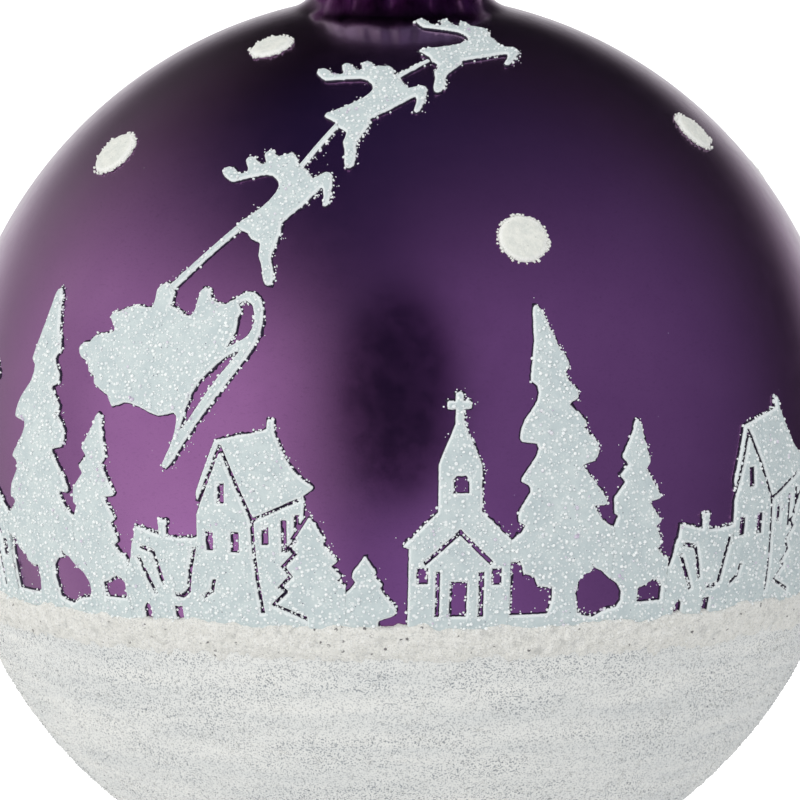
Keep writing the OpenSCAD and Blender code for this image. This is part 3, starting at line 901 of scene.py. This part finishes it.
def make_glass():
    """The blown bulb: its outer and inner outlines, joined by a fire-rounded lip."""
    half = GLASS_T / 2
    outer = bulb_profile(GLASS, NECK, FLARE, NECK_TOP - half)
    inner = bulb_profile(GLASS - GLASS_T, NECK - GLASS_T, FLARE + GLASS_T, NECK_TOP - half)
    lip = np.array([NECK - half, NECK_TOP - half]) + half * arc(0, np.pi, 9)[1:-1]
    points, faces = turned(np.vstack([outer, lip, inner[::-1]]), 144)
    piece("blown_bulb", points, faces, "ball", "glass", CLEAR, ["glass_ball"])


def make_cap():
    """The stamped cap: an outer surface worked out ring by ring from the top's centre
    to the hem, and an inner one a sheet's thickness inside it.

    The top carries a raised ring and a ring of petals, the skirt is fluted, and the
    hem flares out to twelve scallops. Two round holes let the wire through."""
    angle = full_turn(12 * FLUTES)
    wave = 0.5 + 0.5 * np.cos(FLUTES * angle)
    flute = FLUTE_H * wave ** 1.3
    scallop = np.abs(np.sin(SCALLOPS * (angle + np.pi / FLUTES) / 2)) ** 0.7
    drop = HEM_H * (0.35 + 0.65 * scallop)
    flat_r = CAP_OUT - FOLD_R
    plate = CAP_TOP - STAMP_H
    rings = []
    for rho in np.concatenate([[0.05], np.linspace(0.4, flat_r, 34)]):
        ring = STAMP_H * np.exp(-((rho - RING_R) / 0.32) ** 2)
        dimple = 0.12 * np.exp(-(rho / 1.6) ** 4)
        petal = 0.12 * np.exp(-((rho - PETAL_R) / 0.55) ** 2) * wave
        rings.append((rho + 0 * angle, plate + ring - dimple + petal))
    for a in np.linspace(0, np.pi / 2, 9)[1:]:
        rings.append((flat_r + FOLD_R * np.sin(a) + flute * np.sin(a) ** 2,
                      plate - FOLD_R * (1 - np.cos(a)) + 0 * angle))
    for share in np.linspace(0, 1, 16)[1:]:
        z = (plate - FOLD_R) * (1 - share) + SKIRT_LOW * share
        rings.append((CAP_OUT + flute * (1 - 0.4 * share ** 4), z + 0 * angle))
    for share in np.linspace(0, 1, 12)[1:]:
        rings.append((CAP_OUT + 0.6 * flute * (1 - share) + HEM_FLARE * share ** 1.4,
                      SKIRT_LOW - drop * share))
    radius = np.array([r for r, _ in rings])
    height = np.array([z for _, z in rings])
    outer = polar(radius, angle, height)
    down = np.gradient(outer, axis=0)
    around = np.roll(outer, -1, 1) - np.roll(outer, 1, 1)
    inner = outer - CAP_T * unit(np.cross(down, around))
    points, faces = with_poles(np.concatenate([outer, inner[::-1]]),
                               [0, 0, outer[0, 0, 2]], [0, 0, inner[0, 0, 2]])
    cap = piece("stamped_cap", points, faces, "cap", "cap_metal", TIN, ["cap"])
    for side in (-1, 1):
        bpy.ops.mesh.primitive_cylinder_add(
            vertices=40, radius=(WIRE + 0.2) * MM, depth=2 * MM,
            location=(side * EYE * MM, 0, (CAP_TOP + UP[2]) * MM))
        drill = bpy.context.object
        cut = cap.modifiers.new("hole", "BOOLEAN")
        cut.operation = "DIFFERENCE"
        cut.solver = "EXACT"
        cut.object = drill
        shape = bpy.data.meshes.new_from_object(
            cap.evaluated_get(bpy.context.evaluated_depsgraph_get()))
        cap.modifiers.clear()
        cap.data = shape
        bpy.data.objects.remove(drill)


def rounded(a, b, c):
    """A corner at b, cut by a curve that starts and ends a short way from it."""
    a, b, c = (np.array(p, float) for p in (a, b, c))
    start = b + unit(a - b) * BEND
    stop = b + unit(c - b) * BEND
    t = np.linspace(0, 1, 10)[:, None]
    return start * (1 - t) ** 2 + b * 2 * t * (1 - t) + stop * t ** 2


def make_hanger():
    """The hanger: a round wire carried up one leg, round the eye and down the other,
    with ends rounded by narrowing the last rings along a half circle."""
    top = (EYE, EYE_Z)
    tip = np.array(TIP, float)
    way = unit(np.array(BOW) - tip)
    cone = np.linspace(0, np.pi / 2, 7)[1:]
    start = tip + way * (WIRE * (1 - np.cos(cone)))[:, None]
    leg = np.vstack([start, rounded(TIP, BOW, KNEE), rounded(BOW, KNEE, top)])
    eye = np.array([0, EYE_Z]) + EYE * arc(0, np.pi, 48)
    path = np.vstack([leg, eye, leg[::-1] * [-1, 1]])
    size = np.full(len(path), WIRE)
    size[:6] = WIRE * np.sin(cone)
    size[-6:] = size[:6][::-1]
    along = unit(np.gradient(path, axis=0))
    turn = full_turn(18)
    reach = size[:, None] * np.cos(turn)
    rings = np.stack([path[:, :1] - reach * along[:, 1:], size[:, None] * np.sin(turn),
                      path[:, 1:] + reach * along[:, :1]], -1)
    points, faces = with_poles(rings, [tip[0], 0, tip[1]], [-tip[0], 0, tip[1]])
    piece("bent_hanger", points, faces, "hanger", "wire", STEEL, ["hanger"])


make_lacquer()
make_glass()
make_cap()
make_hanger()
nodes["silver_lining"].data.materials.clear()
nodes["silver_lining"].data.materials.append(MIRROR)


# ---------------- prints and beads

TIPS = np.array([[1, 0, 0], [-1, 0, 0], [0, 1, 0], [0, -1, 0], [0, 0, 1], [0, 0, -1]], float)
OCTAHEDRON = (TIPS, np.array([[0, 2, 4], [2, 1, 4], [1, 3, 4], [3, 0, 4],
                              [2, 0, 5], [1, 2, 5], [3, 1, 5], [0, 3, 5]]))


def octa_ball():
    """A ball of 32 triangles: an octahedron with its faces cut in four."""
    points, faces = list(TIPS), []
    for x in (0, 1):
        for y in (2, 3):
            for z in (4, 5):
                a, b, c = (x, y, z) if (x + y + z) % 2 == 0 else (y, x, z)
                first = len(points)
                points += [unit(TIPS[p] + TIPS[q]) for p, q in ((a, b), (b, c), (c, a))]
                ab, bc, ca = first, first + 1, first + 2
                faces += [(a, ab, ca), (ab, b, bc), (ca, bc, c), (ab, bc, ca)]
    kept, index = np.unique(np.round(points, 6), axis=0, return_inverse=True)
    return kept, index.ravel()[np.array(faces)]


def crumbs(shape, centres, sizes, chance):
    """A copy of a small closed shape at each centre, turned and squashed at random."""
    points, faces = shape
    out = unit(centres)
    east = unit(np.cross(out, chance.normal(size=out.shape)))
    north = np.cross(out, east)
    stretch = chance.uniform(0.8, 1.2, (len(centres), 3)) * sizes[:, None]
    placed = (points[None, :, :1] * (east * stretch[:, :1])[:, None]
              + points[None, :, 1:2] * (north * stretch[:, 1:2])[:, None]
              + points[None, :, 2:] * (out * stretch[:, 2:])[:, None]
              + centres[:, None])
    every = faces[None] + (np.arange(len(centres)) * len(points))[:, None, None]
    return placed.reshape(-1, 3), every.reshape(-1, 3)


def loose_beads(places, inset, rim, free, axes, turn, chance):
    """Beads on one print: one in most cells of a jittered grid over its face, and
    others beside its edges, close together along the rough ones. The further from
    the edge these lie, the smaller they are."""
    low, high = places.min(0), places.max(0)
    grid = np.stack(np.meshgrid(np.arange(low[0], high[0], BEAD_CELL),
                                np.arange(low[1], high[1], BEAD_CELL)), -1).reshape(-1, 2)
    spots = grid + chance.uniform(0, BEAD_CELL, grid.shape)
    spots = spots[chance.random(len(spots)) < 0.85]
    spots = spots[depth_at(spots, places, inset) > 0.16]
    size = chance.uniform(0.1, 0.23, len(spots))
    on_face = lifted(spots, BALL + PRINT_T + FILM_GAP - 0.03 + 0.15 * size, axes)

    start, end = flat(rim[0], axes)[free], flat(rim[1], axes)[free]
    rough, away = rough_edges(start, end, rim[2][free])
    dense = np.where(rough, 3.6, np.where(rim[2][free], 1.2, 0.25))
    spots, picks = along_rim(start, end, dense, chance)
    gap = chance.exponential(0.2, len(picks))
    spots += away[picks] * (0.02 + gap)[:, None]
    clear = depth_at(spots, places, inset) < 0
    spots = spots[clear]
    tiny = np.clip(0.21 - 0.3 * gap[clear], 0.07, 0.21) * chance.uniform(0.6, 1.1, len(spots))
    beside = lifted(spots, BALL + 0.5 * tiny, axes)
    centres = spun(np.vstack([on_face, beside]), turn)
    return centres, np.concatenate([size, tiny])


def along_rim(start, end, dense, chance):
    """Random places along a rim, so many per mm, and which edge each of them is on."""
    number = chance.poisson(dense * np.linalg.norm(end - start, axis=1))
    picks = np.repeat(np.arange(len(start)), number)
    share = chance.random((len(picks), 1))
    return start[picks] * (1 - share) + end[picks] * share, picks


def depth_at(spots, places, inset):
    """How deep inside the print each spot lies, looked up at the nearest grid place,
    and -1 where there is none."""
    low = places.min(0) - 1
    shape = np.ceil((places.max(0) + 1 - low) / STEP).astype(int) + 1
    table = np.full(shape, -1)
    at = np.round((places - low) / STEP).astype(int)
    table[at[:, 0], at[:, 1]] = np.arange(len(places))
    want = np.clip(np.round((spots - low) / STEP).astype(int), 0, shape - 1)
    found = table[want[:, 0], want[:, 1]]
    return np.where(found < 0, -1.0, inset[found])


def make_prints():
    """Every glitter print as closed relief, and the beads on and around them."""
    rims = {name: rims_of(name, PRINT_T) for name in VILLAGE + TEAM}
    seams = []
    for name in VILLAGE:
        start, end = (np.vstack([rim[k] for rim in rims[name]]) for k in (0, 1))
        a, b = (on_split(longitude(p)) for p in (start, end))
        same = (a >= 0) & (a == b)
        seams += [(name, k, min(p, q), max(p, q))
                  for k, p, q in zip(a[same], start[same, 2], end[same, 2])]
    beads = {part: [] for part in range(REPEATS + 1)}
    for seed, name in enumerate(VILLAGE + TEAM):
        village = name in VILLAGE
        parts = rims[name]
        if village:
            parts = [rim for rim in parts
                     if -PITCH / 2 <= longitude(rim[0].mean(0)[None])[0] < PITCH / 2
                     or len(parts) < REPEATS][:1]
        sheets, insets = [], []
        for rim in parts:
            free = free_edges(name, rim, seams, rims)
            axes = axes_at(rim[0])
            places, quads, inset = relief(rim, free, axes, seed)
            for turn in range(REPEATS if village else 1):
                spin = turn * PITCH
                where = spun(lifted(places, BALL, axes), spin)
                height = paste_height(where, inset, PRINT_T, SHOULDER, 11)
                sheets.append(closed_sheet(where, height, quads))
                insets += [inset, np.full(len(inset), -GLUE_W)]
                chance = np.random.default_rng(100 * seed + turn)
                beads[turn if village else REPEATS].append(
                    loose_beads(places, inset, rim, free, axes, spin, chance))
        points, faces = joined(sheets)
        # the inset attribute places the paste's painted rim highlight and its painted glue shade
        piece("print_" + name, points, [faces], "ball", "glitter_print", PASTE, [name],
              inset=np.concatenate(insets))
    for part, some in beads.items():
        centres = np.vstack([c for c, _ in some])
        sizes = np.concatenate([s for _, s in some])
        points, faces = crumbs(octa_ball(), centres, sizes, np.random.default_rng(part))
        piece(f"beads_{part}", points, [faces], "ball", "glitter_print", BEAD)


def on_split(degrees):
    """Which seam meridian each longitude lies on, numbered round the ball, or -1."""
    found = np.full(len(degrees), -1)
    for k in range(REPEATS):
        for j, split in enumerate(SPLITS):
            gap = (degrees - split - k * PITCH + 180) % 360 - 180
            found[np.abs(gap) < 0.02] = k * len(SPLITS) + j
    return found


def free_edges(name, rim, seams, rims):
    """Which rim edges are real edges: not those on the bank's top, where the paste
    covers them, nor those that another print runs along."""
    start, end = rim[:2]
    middle = (start + end) / 2
    free = ~((np.abs(start[:, 2] - BANK_TOP_Z) < 0.06) & (np.abs(end[:, 2] - BANK_TOP_Z) < 0.06))
    if name in VILLAGE:
        a, b = on_split(longitude(start)), on_split(longitude(end))
        for i in np.nonzero((a >= 0) & (a == b))[0]:
            free[i] &= not any(k == a[i] and other != name and low <= middle[i, 2] <= high
                               for other, k, low, high in seams)
    elif name == "reins":
        others = [one for other in TEAM if other != "reins" for one in rims[other]]
        free &= ~on_rims(middle, others)
    return free


def make_spots():
    """The snow spots: round dabs of thick paint with grains caught all round the rim."""
    chance = np.random.default_rng(17)
    sheets, insets, centres, sizes = [], [], [], []
    for seed, rim in enumerate(rims_of("snow_dots", DOT_T)):
        axes = axes_at(rim[0])
        places, quads, inset = relief(rim, np.ones(len(rim[0]), bool), axes, 40 + seed)
        # the foot is held at -0.01, so the painted shade line round each spot stays faint
        inset = np.maximum(inset, -0.01)
        where = lifted(places, BALL, axes)
        height = paste_height(where, inset, DOT_T, 0.7, 23)
        height += 0.05 * lattice_noise(where, 0.3, 29) * np.clip(inset, 0, 1)
        sheets.append(closed_sheet(where, height, quads))
        insets += [inset, np.full(len(inset), -0.01)]
        start, end = flat(rim[0], axes), flat(rim[1], axes)
        edge, picks = along_rim(start, end, 3.6, chance)
        away = rough_edges(start, end, rim[2])[1][picks]
        size = chance.uniform(0.14, 0.24, len(edge))
        edge += away * chance.uniform(0.1, 0.34, (len(edge), 1))
        centres.append(lifted(edge, BALL + 0.6 * size, axes))
        sizes.append(size)
    grains, crumb = crumbs(OCTAHEDRON, np.vstack(centres), np.concatenate(sizes), chance)
    # the grains round the rim take the spot paint's painted rim highlight
    insets.append(np.full(len(grains), 0.15))
    points, faces = joined(sheets)
    piece("painted_spots", np.vstack([points, grains]), [faces, crumb + len(points)], "ball",
          "snow_spot", SPOT, ["snow_dots"], inset=np.concatenate(insets))


# ---------------- snow

def make_bank():
    """The snow bank: a lumpy ring of paste. Its section climbs from a ragged lower
    edge to full thickness, rounds over at a wandering top edge and comes back along
    the ball. Each ring of the grid is one step of that section."""
    columns, rows = 2100, 27
    angle = full_turn(columns)
    circle = BALL * polar(1, angle, 0)
    drift = 0.75 + noises(circle, (0.45, 4.0, 3), (0.35, 1.5, 4), (0.2, 0.6, 5))
    ragged = noises(circle, (0.5, 2.0, 6), (0.3, 0.7, 7))
    top = np.radians(BANK_TOP_LAT) + np.clip(drift, 0.08, 1.7) / BALL
    low = np.radians(BANK_LOW_LAT) + (ragged - 1.1) / BALL
    share = (1 - (1 - np.linspace(0, 1, rows)) ** 1.25)[:, None]
    lat = low + (top - low) * share
    from_top = (top - lat) * BALL
    from_low = (lat - low) * BALL
    out = polar(np.cos(lat), angle, np.sin(lat))
    where = out.reshape(-1, 3) * BALL
    lumps = noises(where, (0.12, 1.7, 8), (0.16, 0.7, 9), (0.12, 0.3, 10))
    lumps = lumps.reshape(rows, columns)
    edge = np.clip(from_top / 0.5, 0, 1)
    foot = np.clip(from_low / 2.2, 0, 1)
    body = np.sqrt(1 - (1 - edge) ** 2) * (0.25 + 0.75 * foot * (2 - foot))
    height = GLUE_H + BANK_T * body * 0.86 + lumps * np.clip(from_top / 0.3, 0, 1)
    height = np.maximum(height, 0.03)
    upper = out * (BALL + height)[..., None]
    under = out[[-1, rows // 2, 0]] * (BALL - SNOW_SUNK)
    rings = np.concatenate([upper, under])
    points = rings.reshape(-1, 3)
    faces = outward(points, [ring_quads(len(rings), columns, wrap=True)])
    # the lump attribute sets where the paste's painted shade falls in the hollows
    lump = np.concatenate([(lumps / 0.3).ravel(), np.zeros(3 * columns)])
    piece("snow_ridge", points, faces, "ball", "snow_paste", BANK, ["snow_bank"], lump=lump)


def make_coat():
    """The snow coat: a square grid bent to a disc and wrapped round the ball's foot,
    roughened by fine noise and level bands, and closed by a smooth inner bowl."""
    cells = 298
    reach = np.radians(90 + BANK_LOW_LAT + 1.0)
    line = np.linspace(-1, 1, cells + 1)
    a, b = (g.ravel() for g in np.meshgrid(line, line))
    wide = np.abs(a) >= np.abs(b)
    big = np.where(wide, a, b)
    small = np.where(wide, b, a)
    turn = np.pi / 4 * small / np.where(big == 0, 1, big)
    angle = np.where(wide, turn, np.pi / 2 - turn)
    ring = big * reach
    out = polar(np.sin(ring), angle, -np.cos(ring))
    where = out * BALL
    level = where * [0.02, 0.02, 1]
    rough = noises(where, (0.05, 0.9, 31), (0.05, 0.42, 32)) + noises(level, (0.03, 0.9, 33))
    top = out * (BALL + FILM_GAP + COAT_T - 0.05 + rough)[:, None]
    number = np.arange((cells + 1) ** 2).reshape(cells + 1, cells + 1)
    quads = grid_quads(number)
    rim = np.concatenate([number[0, :-1], number[:-1, -1], number[-1, :0:-1], number[:0:-1, 0]])
    inside = BALL - SNOW_SUNK
    bowl = [out[rim] * inside]
    spread = np.arctan2(out[rim, 1], out[rim, 0])
    for slope in (reach * 0.66, reach * 0.33):
        bowl.append(inside * polar(np.sin(slope), spread, -np.cos(slope)))
    count = len(rim)
    first = len(top)
    inner = first + np.arange(3 * count).reshape(3, count)
    loops = np.vstack([rim[None], inner])
    walls = np.stack([loops[:-1], loops[1:], np.roll(loops[1:], -1, 1),
                      np.roll(loops[:-1], -1, 1)], -1).reshape(-1, 4)
    points = np.vstack([top] + bowl + [[[0, 0, -inside]]])
    fan = np.stack([inner[-1], np.full(count, len(points) - 1), np.roll(inner[-1], -1)], 1)
    faces = outward(points, [quads, walls, fan])
    piece("snow_crust", points, faces, "ball", "snow_grain", GRIT, ["snow_coat"])


def make_grit():
    """Loose grains standing on the crust and the ridge: small octahedra, thrown
    evenly over the ball's foot."""
    chance = np.random.default_rng(7)
    count = 15000
    z = chance.uniform(-1.0, np.sin(np.radians(BANK_LOW_LAT - 0.4)), count)
    angle = chance.uniform(0, 2 * np.pi, count)
    sizes = chance.uniform(0.07, 0.15, count)
    centres = polar(np.sqrt(1 - z ** 2), angle, z) * (BALL + FILM_GAP + COAT_T - 0.03)
    points, every = crumbs(OCTAHEDRON, centres, sizes, chance)
    piece("snow_grains", points, [every], "ball", "snow_grain", GRIT)


make_prints()
make_spots()
make_bank()
make_coat()
make_grit()
